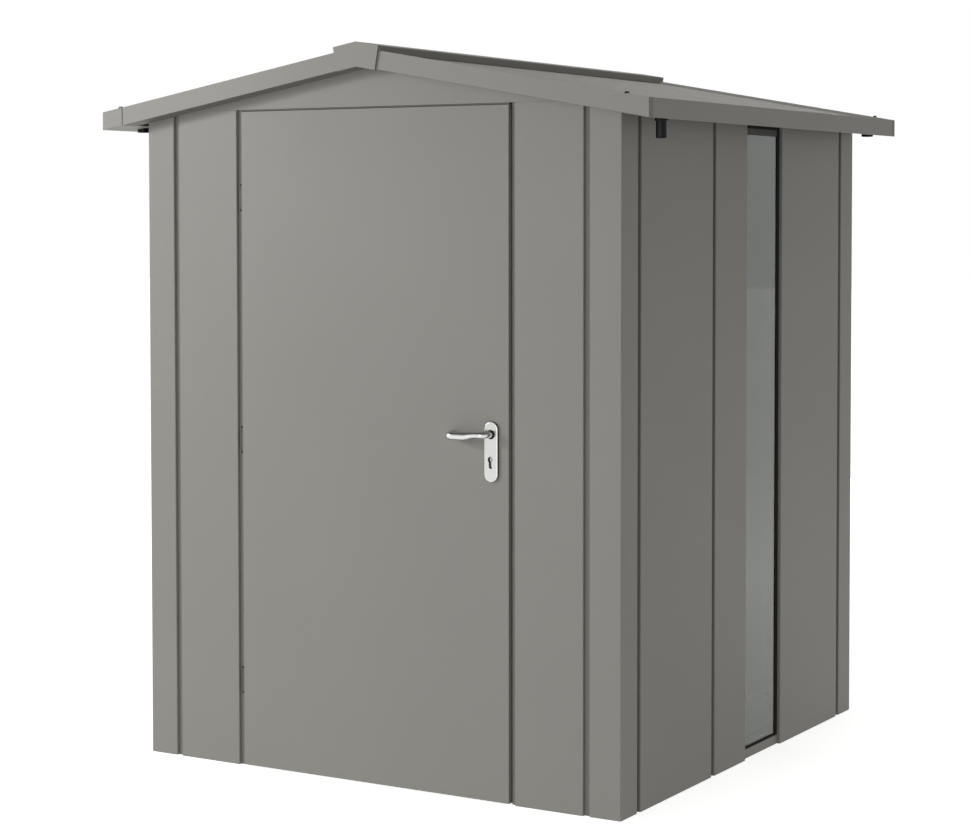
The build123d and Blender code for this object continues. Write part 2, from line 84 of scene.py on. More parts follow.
# Galvanised steel: grey metal with zinc crystals a finger wide, each a little lighter or duller.
SPANGLE = 14 * MM
ZINC_GRAIN = 3 * MM
ZINC_DEPTH = 0.1 * MM
galvanised_steel, tree, place = new_finish("galvanised_steel")
crystals = add_node(tree, "ShaderNodeTexVoronoi", {"Vector": place, "Scale": 1 / SPANGLE})
crystal_grey = add_node(tree, "ShaderNodeRGBToBW", {0: crystals.outputs["Color"]})
zinc = add_node(tree, "ShaderNodeMix", {
    0: crystal_grey.outputs[0], 6: linear("#9a9e9f"), 7: linear("#b4b7b6"),
}, data_type="RGBA")
zinc_gloss = add_node(tree, "ShaderNodeMapRange", {
    "Value": crystal_grey.outputs[0], "To Min": 0.38, "To Max": 0.55,
})
zinc_skin = add_node(tree, "ShaderNodeTexNoise", {"Vector": place, "Scale": 1 / ZINC_GRAIN})
zinc_bump = add_node(tree, "ShaderNodeBump", {
    "Strength": 0.15, "Distance": ZINC_DEPTH, "Height": zinc_skin.outputs[0],
})
shader = add_node(tree, "ShaderNodeBsdfPrincipled", {
    "Base Color": zinc.outputs[2], "Roughness": zinc_gloss.outputs[0], "Normal": zinc_bump.outputs[0],
    "Metallic": 0.9,
})
add_node(tree, "ShaderNodeOutputMaterial", {"Surface": shader.outputs[0]})


def linked(name, data):
    piece = bpy.data.objects.new(name, data)
    bpy.context.scene.collection.objects.link(piece)
    return piece


def pressed(name, shape):
    mesh = bpy.data.meshes.new(name)
    shape.to_mesh(mesh)
    shape.free()
    return linked(name, mesh)


def smooth_faces(piece):
    piece.modifiers.new("flat_faces", "WEIGHTED_NORMAL")
    for face in piece.data.polygons:
        face.use_smooth = True


def round_edges(piece, radius, segments=3):
    bevel = piece.modifiers.new("rolled_edges", "BEVEL")
    bevel.limit_method = "ANGLE"
    bevel.angle_limit = math.radians(SHARP_ANGLE)
    bevel.width = radius
    bevel.segments = segments
    bevel.use_clamp_overlap = True
    smooth_faces(piece)


def folded_copy(name, node, radius):
    sheet = bmesh.new()
    sheet.from_mesh(frame["nodes"][node].data)
    bmesh.ops.remove_doubles(sheet, verts=sheet.verts, dist=MERGE)
    bmesh.ops.dissolve_limit(
        sheet, angle_limit=math.radians(FLAT_ANGLE), verts=sheet.verts, edges=sheet.edges,
    )
    piece = pressed(name, sheet)
    round_edges(piece, radius)
    return piece


def fit(piece, finish, body, slot, *nodes):
    if finish.name not in piece.data.materials:
        piece.data.materials.clear()
        piece.data.materials.append(finish)
    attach(piece, body)
    if nodes:
        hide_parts(*nodes)
    return piece


def dressed(name, node, radius, finish, body, slot):
    return fit(folded_copy(name, node, radius), finish, body, slot, node)


dressed("base_rail_angles", "base_rails", RAIL_EDGE, galvanised_steel, "shed", "frame_zinc")

# Corner pieces: angles folded from one sheet, one at each corner of the shed.
# Galvanised steel under a matt stone-grey powder coat, from the ground to the eaves.
FOLD = 2.5 * MM
WALL_GREY = "#979590"
WALL_SHADE = "#92908b"
DRIFT_WIDTH = 600 * MM
PEEL_WIDTH = 6 * MM
PEEL_DEPTH = 0.2 * MM
DULL_SWING = 0.04


# Powder coat: an even matt skin, with a faint orange peel and a slow drift in tone over an arm's length.
# The peel is about 2 mm wide on the real sheet, and is drawn 6 mm wide here so that it shows at all.
def powder_coat(name, colour, shade, dull=0.5, shine=0.3):
    coat, coat_tree, spot = new_finish(name)
    drift = add_node(coat_tree, "ShaderNodeTexNoise", {
        "Vector": spot, "Scale": 1 / DRIFT_WIDTH, "Detail": 3.0,
    })
    tone = add_node(coat_tree, "ShaderNodeMix", {
        0: drift.outputs[0], 6: linear(colour), 7: linear(shade),
    }, data_type="RGBA")
    gloss = add_node(coat_tree, "ShaderNodeMapRange", {
        "Value": drift.outputs[0], "To Min": dull - DULL_SWING, "To Max": dull + DULL_SWING,
    })
    peel = add_node(coat_tree, "ShaderNodeTexNoise", {
        "Vector": spot, "Scale": 1 / PEEL_WIDTH, "Detail": 1.0,
    })
    skin = add_node(coat_tree, "ShaderNodeBump", {
        "Strength": 0.05, "Distance": PEEL_DEPTH, "Height": peel.outputs[0],
    })
    paint = add_node(coat_tree, "ShaderNodeBsdfPrincipled", {
        "Base Color": tone.outputs[2], "Roughness": gloss.outputs[0], "Normal": skin.outputs[0],
        "Specular IOR Level": shine,
    })
    add_node(coat_tree, "ShaderNodeOutputMaterial", {"Surface": paint.outputs[0]})
    return coat


wall_coat = powder_coat("stone_grey_powder_coat", WALL_GREY, WALL_SHADE)
for corner in ("corner_front_left", "corner_front_right", "corner_rear_left", "corner_rear_right"):
    dressed(corner + "_angle", corner, FOLD, wall_coat, "shed", "wall_grey")

# Wall panels: flat cassettes, folded back at both upright edges and stood side by side
# with a groove between. The same coated sheet as the corners, screwed to the rails from the inside.
PANEL_CUT = 0.8 * MM
FOLD_STEPS = 5
SORT_DIGITS = 4


def tree_inputs(shape, kinds):
    names = {}
    for label, kind in kinds:
        socket = shape.interface.new_socket(label, in_out="INPUT", socket_type=kind)
        names[label] = socket.identifier
    shape.interface.new_socket("Geometry", in_out="OUTPUT", socket_type="NodeSocketGeometry")
    return names


cassette_tree = bpy.data.node_groups.new("row_of_cassettes", "GeometryNodeTree")
cassette_inputs = tree_inputs(cassette_tree, (
    ("Along X", "NodeSocketFloat"), ("Along Y", "NodeSocketFloat"), ("Height", "NodeSocketFloat"),
    ("Fold radius", "NodeSocketFloat"), ("Count", "NodeSocketInt"), ("First", "NodeSocketVector"),
    ("Step", "NodeSocketVector"), ("Finish", "NodeSocketMaterial"),
))
given = add_node(cassette_tree, "NodeGroupInput").outputs
outline = add_node(cassette_tree, "GeometryNodeCurvePrimitiveQuadrilateral", {
    "Width": given["Along X"], "Height": given["Along Y"],
})
folds = add_node(cassette_tree, "GeometryNodeFilletCurve", {
    "Curve": outline.outputs[0], "Count": FOLD_STEPS, "Radius": given["Fold radius"],
}, mode="POLY")
foot = add_node(cassette_tree, "GeometryNodeFillCurve", {"Curve": folds.outputs[0]}, mode="NGONS")
walls = add_node(cassette_tree, "GeometryNodeExtrudeMesh", {
    "Mesh": foot.outputs[0], "Offset Scale": given["Height"], "Individual": False,
})
sole = add_node(cassette_tree, "GeometryNodeFlipFaces", {"Mesh": foot.outputs[0]})
whole = add_node(cassette_tree, "GeometryNodeJoinGeometry", {
    "Geometry": [walls.outputs[0], sole.outputs[0]],
})
closed = add_node(cassette_tree, "GeometryNodeMergeByDistance", {
    "Geometry": whole.outputs[0], "Distance": MERGE,
})
places = add_node(cassette_tree, "GeometryNodeMeshLine", {
    "Count": given["Count"], "Start Location": given["First"], "Offset": given["Step"],
})
stood = add_node(cassette_tree, "GeometryNodeInstanceOnPoints", {
    "Points": places.outputs[0], "Instance": closed.outputs[0],
})
real = add_node(cassette_tree, "GeometryNodeRealizeInstances", {"Geometry": stood.outputs[0]})
coated = add_node(cassette_tree, "GeometryNodeSetMaterial", {
    "Geometry": real.outputs[0], "Material": given["Finish"],
})
add_node(cassette_tree, "NodeGroupOutput", {"Geometry": coated.outputs[0]})


def plain_mesh(piece):
    graph = bpy.context.evaluated_depsgraph_get()
    return bpy.data.meshes.new_from_object(piece.evaluated_get(graph))


def grown(name, shape, names, values, mesh=None):
    piece = linked(name, mesh or bpy.data.meshes.new(name))
    growth = piece.modifiers.new("growth", "NODES")
    growth.node_group = shape
    for label, value in values.items():
        growth[names[label]] = value
    piece.data = plain_mesh(piece)
    piece.data.name = name
    piece.modifiers.remove(growth)
    return piece


def cassettes(name, finish, sizes, first, step, count):
    piece = grown(name, cassette_tree, cassette_inputs, {
        "Along X": sizes[0], "Along Y": sizes[1], "Height": sizes[2], "Fold radius": FOLD,
        "Count": count, "First": first, "Step": step, "Finish": finish,
    })
    round_edges(piece, PANEL_CUT, 2)
    return piece


def solid_boxes(node):
    loose = bmesh.new()
    loose.from_mesh(frame["nodes"][node].data)
    bmesh.ops.remove_doubles(loose, verts=loose.verts, dist=MERGE)
    left = set(loose.verts)
    boxes = []
    while left:
        group = [left.pop()]
        for vert in group:
            near = {edge.other_vert(vert) for edge in vert.link_edges} & left
            left -= near
            group.extend(near)
        low = Vector(min(v.co[axis] for v in group) for axis in range(3))
        high = Vector(max(v.co[axis] for v in group) for axis in range(3))
        boxes.append((low, high))
    loose.free()
    return sorted(boxes, key=lambda box: tuple(round(value, SORT_DIGITS) for value in box[0]))


def row_for(name, node, finish, slot, chosen=slice(None)):
    boxes = solid_boxes(node)[chosen]
    low, high = boxes[0]
    sizes = high - low
    first = Vector(((low.x + high.x) / 2, (low.y + high.y) / 2, low.z))
    step = boxes[1][0] - low if len(boxes) > 1 else Vector()
    fit(cassettes(name, finish, sizes, first, step, len(boxes)), finish, "shed", slot, node)


row_for("front_panel_cassettes", "front_wall_panels", wall_coat, "wall_grey")
row_for("right_panel_cassettes", "right_wall_panels", wall_coat, "wall_grey", slice(0, 3, 2))
row_for("right_half_cassette", "right_wall_panels", wall_coat, "wall_grey", slice(1, 2))
row_for("left_panel_cassettes", "left_wall_panels", wall_coat, "wall_grey")
row_for("rear_panel_cassettes", "rear_wall_panels", wall_coat, "wall_grey")

# Joint strips: set-back bands that close the grooves between panels from behind.
# The same sheet and coat, a little darker than the walls as painted shade in the grooves; beside the door
# they stop a few millimetres short of the leaf.
JOINT_PAINTED_SHADE_GREY = "#8a8984"
JOINT_PAINTED_SHADE_DRIFT = "#84837e"
# Painted shade: the joint coat is a little darker than the walls to stand for the shade in the grooves.
painted_shade_joint_coat = powder_coat("joint_painted_shade_coat", JOINT_PAINTED_SHADE_GREY, JOINT_PAINTED_SHADE_DRIFT, 0.6)
for wall in ("front", "right", "left", "rear"):
    dressed(wall + "_groove_floors", wall + "_joint_strips", PANEL_CUT, painted_shade_joint_coat, "shed", "joint_grey")

# Gables: triangular sheets that stand on the front and rear walls, with a hairline seam below.
# Cut from the coated sheet and fixed behind the verges.
for gable in ("gable_front", "gable_rear"):
    dressed(gable + "_sheet", gable, PANEL_CUT, wall_coat, "shed", "wall_grey")

# Roof bearers: rails along the heads of the side walls and a purlin under the ridge.
# Folded galvanised channel, screwed to the walls and gables.
for bearer in ("top_rails", "ridge_purlin"):
    dressed(bearer + "_channel", bearer, RAIL_EDGE, galvanised_steel, "shed", "frame_zinc")

# Door frame: jambs and a head behind the wall with a stop all round the leaf.
# Folded galvanised steel, screwed through the panels beside the doorway.
dressed("door_frame_fold", "door_frame", RAIL_EDGE, galvanised_steel, "shed", "frame_zinc")

# Frame screws: hexagon-headed self-drilling screws with washers, along the rails and the door frame.
# Zinc-plated steel, driven from the inside, so none shows on the outer walls.
WASHER_RADIUS = 7 * MM
WASHER_THICKNESS = 1.5 * MM
WASHER_FACETS = 20
HEAD_SIDES = 6
HEAD_RADIUS = 4.6 * MM
HEAD_HEIGHT = 4.5 * MM
SCREW_SPACING = 290 * MM
SCREW_END = 120 * MM

# Zinc plate: bright grey metal, a little clouded where the bath was uneven.
CLOUD_WIDTH = 9 * MM
zinc_plate, tree, place = new_finish("zinc_plated_steel")
cloud = add_node(tree, "ShaderNodeTexNoise", {"Vector": place, "Scale": 1 / CLOUD_WIDTH, "Detail": 3.0})
plate_tone = add_node(tree, "ShaderNodeMix", {
    0: cloud.outputs[0], 6: linear("#8f9294"), 7: linear("#b3b6b7"),
}, data_type="RGBA")
plate_gloss = add_node(tree, "ShaderNodeMapRange", {
    "Value": cloud.outputs[0], "To Min": 0.25, "To Max": 0.42,
})
shader = add_node(tree, "ShaderNodeBsdfPrincipled", {
    "Base Color": plate_tone.outputs[2], "Roughness": plate_gloss.outputs[0], "Metallic": 1.0,
})
add_node(tree, "ShaderNodeOutputMaterial", {"Surface": shader.outputs[0]})

screw_tree = bpy.data.node_groups.new("screws_on_points", "GeometryNodeTree")
screw_inputs = tree_inputs(screw_tree, (
    ("Points", "NodeSocketGeometry"), ("Washer radius", "NodeSocketFloat"),
    ("Washer thickness", "NodeSocketFloat"), ("Head radius", "NodeSocketFloat"),
    ("Head height", "NodeSocketFloat"), ("Finish", "NodeSocketMaterial"),
))
given = add_node(screw_tree, "NodeGroupInput").outputs
washer = add_node(screw_tree, "GeometryNodeMeshCylinder", {
    "Vertices": WASHER_FACETS, "Radius": given["Washer radius"], "Depth": given["Washer thickness"],
})
head = add_node(screw_tree, "GeometryNodeMeshCone", {
    "Vertices": HEAD_SIDES, "Radius Top": given["Head radius"],
    "Radius Bottom": given["Head radius"], "Depth": given["Head height"],
})
axis = add_node(screw_tree, "GeometryNodeInputNamedAttribute", {
    "Name": "screw_axis",
}, data_type="FLOAT_VECTOR")
turn = add_node(screw_tree, "FunctionNodeAlignRotationToVector", {"Vector": axis.outputs[0]}, axis="Z")
screw = add_node(screw_tree, "GeometryNodeJoinGeometry", {
    "Geometry": [washer.outputs[0], head.outputs[0]],
})
driven = add_node(screw_tree, "GeometryNodeInstanceOnPoints", {
    "Points": given["Points"], "Instance": screw.outputs[0], "Rotation": turn.outputs[0],
})
real = add_node(screw_tree, "GeometryNodeRealizeInstances", {"Geometry": driven.outputs[0]})
plated = add_node(screw_tree, "GeometryNodeSetMaterial", {
    "Geometry": real.outputs[0], "Material": given["Finish"],
})
add_node(screw_tree, "NodeGroupOutput", {"Geometry": plated.outputs[0]})


def spread(low, high, spacing):
    count = max(2, round((high - low) / spacing) + 1)
    return [low + (high - low) * number / (count - 1) for number in range(count)]


screws = []
base_low, base_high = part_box("base_rails")
rail_low, rail_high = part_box("top_rails")
jamb_low, jamb_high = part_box("door_frame")
rail_width = base_high.z - base_low.z
base_z = (base_low.z + base_high.z) / 2
top_z = rail_low.z + rail_width / 2
for y in spread(base_low.y + SCREW_END, base_high.y - SCREW_END, SCREW_SPACING):
    for side in (-1, 1):
        screws.append((Vector((side * (base_high.x - rail_width), y, base_z)), Vector((-side, 0, 0))))
        screws.append((Vector((side * (rail_high.x - rail_width), y, top_z)), Vector((-side, 0, 0))))
for x in spread(base_low.x + SCREW_END, base_high.x - SCREW_END, SCREW_SPACING):
    screws.append((Vector((x, base_high.y - rail_width, base_z)), Vector((0, -1, 0))))
for z in spread(jamb_low.z + SCREW_END, jamb_high.z - SCREW_END, SCREW_SPACING):
    for side in (-1, 1):
        screws.append((Vector((side * (jamb_high.x - rail_width / 2), jamb_high.y, z)), Vector((0, 1, 0))))
screw_points = bpy.data.meshes.new("frame_screw_points")
screw_points.from_pydata([point for point, direction in screws], [], [])
axes = screw_points.attributes.new("screw_axis", "FLOAT_VECTOR", "POINT")
for number, (point, direction) in enumerate(screws):
    axes.data[number].vector = direction
fit(grown("frame_screws", screw_tree, screw_inputs, {
    "Washer radius": WASHER_RADIUS, "Washer thickness": WASHER_THICKNESS, "Head radius": HEAD_RADIUS,
    "Head height": HEAD_HEIGHT, "Finish": zinc_plate,
}, screw_points), zinc_plate, "shed", "frame_zinc")

# Roof sheets: one smooth coated sheet for each slope, laid on the bearers and dripping into the gutters.
# Their undersides carry a felt that takes up condensation.
ROOF_GREY = "#979590"
ROOF_SHADE = "#92908b"
roof_coat = powder_coat("roof_grey_powder_coat", ROOF_GREY, ROOF_SHADE, 0.6, 0.22)

# Felt: dark grey fibres pressed flat, quite without gloss.
FIBRE_WIDTH = 5 * MM
FIBRE_DEPTH = 0.6 * MM
FACES_DOWN = -0.5
fleece, tree, place = new_finish("anti_condensation_felt")
fibres = add_node(tree, "ShaderNodeTexNoise", {"Vector": place, "Scale": 1 / FIBRE_WIDTH, "Detail": 4.0})
felt_tone = add_node(tree, "ShaderNodeMix", {
    0: fibres.outputs[0], 6: linear("#262625"), 7: linear("#3c3c3a"),
}, data_type="RGBA")
felt_bump = add_node(tree, "ShaderNodeBump", {
    "Strength": 0.4, "Distance": FIBRE_DEPTH, "Height": fibres.outputs[0],
})
shader = add_node(tree, "ShaderNodeBsdfPrincipled", {
    "Base Color": felt_tone.outputs[2], "Normal": felt_bump.outputs[0], "Roughness": 0.95,
    "Specular IOR Level": 0.1,
})
add_node(tree, "ShaderNodeOutputMaterial", {"Surface": shader.outputs[0]})


def recoat(piece, finish, chosen):
    piece.data.materials.append(finish)
    number = len(piece.data.materials) - 1
    for face in piece.data.polygons:
        if chosen(face.center, face.normal):
            face.material_index = number


def faces_down(centre, normal):
    return normal.z < FACES_DOWN


for roof_piece in ("roof_sheet_left", "roof_sheet_right"):
    sheet = dressed(roof_piece + "_skin", roof_piece, FOLD, roof_coat, "shed", "roof_grey")
    recoat(sheet, fleece, faces_down)

# Ridge cap: a shallow hood over the joint of the two sheets, with turned-down lips that let air out.
# Folded from the same coated sheet; the lips are coated darker, as painted shade under the hood.
FACES_SIDEWAYS = 0.8
# Painted shade: a darker coat, put on the sideways lips of the ridge cap and the sideways edges of the
# ridge end plates.
painted_shade_lip_coat = powder_coat("lip_painted_shade_coat", "#7f7e79", "#777672", 0.6)


def faces_sideways(centre, normal):
    return abs(normal.x) > FACES_SIDEWAYS


ridge_hood = dressed("ridge_cap_skin", "ridge_cap", FOLD, roof_coat, "shed", "roof_grey")
recoat(ridge_hood, painted_shade_lip_coat, faces_sideways)

# Verges: boxed fascias up both slopes of each gable, and ridge ends with a plate across their joint.
# Folded coated sheet, hooked over the roof edges; the faces that look down are coated darker as painted
# shade, and the sideways edges of the ridge end plates take the darker lip coat as painted shade.
PLATE_STAND = 3.5 * MM
VERGE_EDGE = 1.0 * MM
trim_coat = powder_coat("trim_grey_powder_coat", ROOF_GREY, ROOF_SHADE)
# Painted shade: a darker coat for the faces of the verges that look down and for the inner walls of the
# gutters.
painted_shade_back_coat = powder_coat("back_painted_shade_coat", "#6e6d69", "#676662", 0.6)
for verge in ("verge_front_left", "verge_front_right", "verge_rear_left", "verge_rear_right"):
    fascia = dressed(verge + "_fascia", verge, VERGE_EDGE, trim_coat, "shed", "roof_grey")
    recoat(fascia, painted_shade_back_coat, faces_down)
verge_end_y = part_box("verge_rear_right")[1].y


def stand_proud(piece, beyond, amount):
    for vert in piece.data.vertices:
        if abs(vert.co.y) > beyond:
            vert.co.y += math.copysign(amount, vert.co.y)


for ridge_end in ("ridge_end_front", "ridge_end_rear"):
    plate = dressed(ridge_end + "_plate", ridge_end, PANEL_CUT, trim_coat, "shed", "roof_grey")
    stand_proud(plate, verge_end_y + MERGE, PLATE_STAND)
    # Painted shade: the sideways edges of the plates take the darker lip coat for the shade line beside
    # the verges.
    recoat(plate, painted_shade_lip_coat, faces_sideways)

# Verge strips: narrow sloped strips between the roof sheets and the verges, from the ridge to the eaves.
# Folded from the coated sheet and fixed before the verges go on; they lead the rain off the joint.
STRIP_WIDTH = 14 * MM
STRIP_HEIGHT = 7 * MM
STRIP_EDGE = 1 * MM
GABLE_ENDS = ((-1, "front"), (1, "rear"))
EAVE_SIDES = ((-1, "left"), (1, "right"))


def stacked(name, layers):
    press = bmesh.new()
    rings = [[press.verts.new((x, y, z)) for x, z in points] for y, points in layers]
    for lower, upper in zip(rings, rings[1:]):
        for number in range(len(lower)):
            after = (number + 1) % len(lower)
            press.faces.new((lower[number], lower[after], upper[after], upper[number]))
    press.faces.new(rings[0])
    press.faces.new(rings[-1])
    bmesh.ops.recalc_face_normals(press, faces=press.faces)
    return pressed(name, press)


verge_low, verge_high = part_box("verge_front_right")
eave_low, eave_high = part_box("gutter_walls_right")
sheet_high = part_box("roof_sheet_right")[1]
gutter_tall = eave_high.z - eave_low.z
roof_slope = (verge_high.z - verge_low.z - gutter_tall) / (verge_high.x - verge_low.x)
hood_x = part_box("ridge_cap")[1].x
strip_line = [(x, sheet_high.z - x * roof_slope) for x in (hood_x, sheet_high.x)]
for end, end_name in GABLE_ENDS:
    for side, side_name in EAVE_SIDES:
        foot = [(side * x, z) for x, z in strip_line]
        back = end * sheet_high.y
        strip = stacked("verge_strip_" + end_name + "_" + side_name, [
            (y, foot + [(x, z + tall) for x, z in reversed(foot)])
            for y, tall in ((back, STRIP_HEIGHT), (back - end * STRIP_WIDTH, STRIP_EDGE))
        ])
        fit(strip, trim_coat, "shed", "roof_grey")

# Gutters: troughs along the eaves with a sloped floor and an end cap at each end.
# Folded coated sheet; the caps stand a little proud and carry the verge line on to the outer edge.
GUTTER_EDGE = 1.2 * MM
CAP_PROUD = 2.5 * MM
CAP_EDGE = 1.8 * MM
# Painted shade: a darker coat for the outer sides of the gutter caps; the left cap clips are coated in it
# too.
painted_shade_cap_coat = powder_coat("painted_shade_cap_coat", "#7f7e79", "#787772")
inner_face = eave_low.x + GUTTER_EDGE
cap_side = verge_high.x + MERGE


def inner_wall(centre, normal):
    return abs(centre.x) < inner_face and faces_sideways(centre, normal)


def cap_outside(centre, normal):
    return abs(centre.x) > cap_side and faces_sideways(centre, normal)


for side, eave in EAVE_SIDES:
    walls, floor_sheet, caps = ("gutter_" + part + "_" + eave for part in ("walls", "floor", "caps"))
    trough = dressed(walls + "_fold", walls, GUTTER_EDGE, trim_coat, "shed", "roof_grey")
    # Painted shade: the inner walls of the gutters, towards the shed, are coated darker.
    recoat(trough, painted_shade_back_coat, inner_wall)
    dressed(floor_sheet + "_fold", floor_sheet, GUTTER_EDGE, trim_coat, "shed", "roof_grey")
    cap_pair = dressed(caps + "_fold", caps, CAP_EDGE, trim_coat, "shed", "roof_grey")
    stand_proud(cap_pair, verge_end_y - MERGE, CAP_PROUD)
    # Painted shade: the outer sides of the caps are coated darker.
    recoat(cap_pair, painted_shade_cap_coat, cap_outside)

# Rain spouts, outlet plugs and cap clips: short pipes under the drained ends of the gutters, blind plugs
# at the others, and a small clip over the top of each end cap.
# Moulded black plastic, pushed into the gutter floor and over the caps; the left clips are coated steel.
SPOUT_ROUND = 1.5 * MM
PIPE_WALL = 3 * MM
PLUG_DISH = 1.2 * MM
PLUG_RIM = 5 * MM
MOULD_EDGE = 0.4 * MM
CLIP_RADIUS = 6 * MM
CLIP_WIDTH = 9 * MM
CLIP_INSET = 8 * MM
TURN_STEPS = 56
ARC_STEPS = 28

# Moulded plastic: black with a soft gloss, and a very fine grain that breaks the highlight.
GRAIN_WIDTH = 1.5 * MM
black_plastic, tree, place = new_finish("moulded_black_plastic")
grain = add_node(tree, "ShaderNodeTexNoise", {"Vector": place, "Scale": 1 / GRAIN_WIDTH})
ink = add_node(tree, "ShaderNodeMix", {
    0: grain.outputs[0], 6: linear("#0a0a0a"), 7: linear("#121211"),
}, data_type="RGBA")
sheen = add_node(tree, "ShaderNodeMapRange", {"Value": grain.outputs[0], "To Min": 0.26, "To Max": 0.36})
shader = add_node(tree, "ShaderNodeBsdfPrincipled", {
    "Base Color": ink.outputs[2], "Roughness": sheen.outputs[0], "Specular IOR Level": 0.15,
})
add_node(tree, "ShaderNodeOutputMaterial", {"Surface": shader.outputs[0]})


def turned(name, profile, centres):
    lathe = bmesh.new()
    for centre_x, centre_y in centres:
        rings = []
        for step in range(TURN_STEPS):
            angle = math.tau * step / TURN_STEPS
            rings.append([
                lathe.verts.new((centre_x + r * math.cos(angle), centre_y + r * math.sin(angle), z))
                for r, z in profile
            ])
        for step in range(TURN_STEPS):
            here, there = rings[step], rings[(step + 1) % TURN_STEPS]
            for level in range(len(profile)):
                upper = (level + 1) % len(profile)
                lathe.faces.new((here[level], there[level], there[upper], here[upper]))
    bmesh.ops.remove_doubles(lathe, verts=lathe.verts, dist=MERGE)
    bmesh.ops.recalc_face_normals(lathe, faces=lathe.faces)
    return pressed(name, lathe)


def solid_centres(node):
    return [((low.x + high.x) / 2, (low.y + high.y) / 2) for low, high in solid_boxes(node)]


spout_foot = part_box("rain_spouts")[0].z
plug_low, plug_high = solid_boxes("outlet_plugs")[0]
spout_mount = next(m for m in frame["record"]["mounts"] if m["name"] == "rain_spout_front_right")
flange_radius = (plug_high.x - plug_low.x) / 2
pipe_radius = spout_mount["dims"]["r_mm"] * MM
bore_radius = pipe_radius - PIPE_WALL
flange_foot = plug_low.z
flange_top = plug_high.z


def follow_floor(piece):
    for vert in piece.data.vertices:
        if vert.co.z > flange_top - MERGE:
            vert.co.z = eave_low.z + (eave_high.x - abs(vert.co.x)) * roof_slope


spout_profile = (
    (bore_radius, spout_foot + SPOUT_ROUND), (bore_radius + SPOUT_ROUND, spout_foot),
    (pipe_radius - SPOUT_ROUND, spout_foot), (pipe_radius, spout_foot + SPOUT_ROUND),
    (pipe_radius, flange_foot), (flange_radius - SPOUT_ROUND, flange_foot),
    (flange_radius, flange_foot + SPOUT_ROUND), (flange_radius, flange_top), (bore_radius, flange_top),
)
spouts = turned("rain_spout_pipes", spout_profile, solid_centres("rain_spouts"))
follow_floor(spouts)
round_edges(spouts, MOULD_EDGE, 2)
fit(spouts, black_plastic, "shed", "black_plastic", "rain_spouts")

plug_profile = (
    (0, flange_foot + PLUG_DISH), (flange_radius - PLUG_RIM, flange_foot + PLUG_DISH),
    (flange_radius - PLUG_RIM + SPOUT_ROUND, flange_foot), (flange_radius - SPOUT_ROUND, flange_foot),
    (flange_radius, flange_foot + SPOUT_ROUND), (flange_radius, flange_top), (0, flange_top),
)
plugs = turned("outlet_blind_plugs", plug_profile, solid_centres("outlet_plugs"))
follow_floor(plugs)
round_edges(plugs, MOULD_EDGE, 2)
fit(plugs, black_plastic, "shed", "black_plastic", "outlet_plugs")

clip_x = verge_high.x + CLIP_INSET
clip_z = eave_high.z + (eave_high.x - clip_x) * roof_slope - SPOUT_ROUND
for end, end_name in GABLE_ENDS:
    for side, side_name in EAVE_SIDES:
        arch = []
        for step in range(ARC_STEPS + 1):
            angle = math.pi * step / ARC_STEPS
            along = CLIP_RADIUS * math.cos(angle)
            arch.append((side * clip_x + along, clip_z + CLIP_RADIUS * math.sin(angle)))
        clip_y = end * (verge_end_y + CAP_PROUD)
        clip = stacked("cap_clip_" + end_name + "_" + side_name, [
            (clip_y + end * MOULD_EDGE, arch), (clip_y - end * CLIP_WIDTH, arch),
        ])
        round_edges(clip, MOULD_EDGE, 2)
        if side > 0:
            fit(clip, black_plastic, "shed", "black_plastic")
        else:
            fit(clip, painted_shade_cap_coat, "shed", "roof_grey")

# Light strip: a fixed pane in the right wall, set back in a rubber gasket between a sill and a head rail.
# Float glass; the rails are coated sheet, and a dark bar closes the glass at its head.
GASKET_EDGE = 1.0 * MM
dressed("window_sill_and_head", "window_rails", GASKET_EDGE, wall_coat, "shed", "wall_grey")

# Rubber: near black and dull, with a faint bloom.
BLOOM_WIDTH = 25 * MM
black_rubber, tree, place = new_finish("moulded_black_rubber")
bloom = add_node(tree, "ShaderNodeTexNoise", {"Vector": place, "Scale": 1 / BLOOM_WIDTH, "Detail": 4.0})
rubber = add_node(tree, "ShaderNodeMix", {
    0: bloom.outputs[0], 6: linear("#100f0e"), 7: linear("#1a1918"),
}, data_type="RGBA")
shader = add_node(tree, "ShaderNodeBsdfPrincipled", {
    "Base Color": rubber.outputs[2], "Roughness": 0.85, "Specular IOR Level": 0.15,
})
add_node(tree, "ShaderNodeOutputMaterial", {"Surface": shader.outputs[0]})
dressed("window_gasket_frame", "window_gasket", GASKET_EDGE, black_rubber, "shed", "black_rubber")

# Glass: lightly tinted, with a grey-green cast, and a slow roller wave that bends what it mirrors.
WAVE_WIDTH = 180 * MM
WAVE_DEPTH = 1 * MM
float_glass, tree, place = new_finish("float_glass")
wave = add_node(tree, "ShaderNodeTexNoise", {"Vector": place, "Scale": 1 / WAVE_WIDTH})
wave_bump = add_node(tree, "ShaderNodeBump", {
    "Strength": 0.05, "Distance": WAVE_DEPTH, "Height": wave.outputs[0],
})
film = add_node(tree, "ShaderNodeMapRange", {"Value": wave.outputs[0], "To Min": 0.0, "To Max": 0.04})
shader = add_node(tree, "ShaderNodeBsdfPrincipled", {
    "Base Color": linear("#aeb8af"), "Roughness": film.outputs[0], "Normal": wave_bump.outputs[0],
    "IOR": 1.5, "Transmission Weight": 1.0,
})
add_node(tree, "ShaderNodeOutputMaterial", {"Surface": shader.outputs[0]})
dressed("window_glass", "window_pane", GASKET_EDGE / 2, float_glass, "shed", "strip_glass")

header_coat = powder_coat("dark_grey_powder_coat", "#3c3c3a", "#363634", 0.5, 0.2)
dressed("window_header_bar", "window_header", GASKET_EDGE, header_coat, "shed", "header_grey")

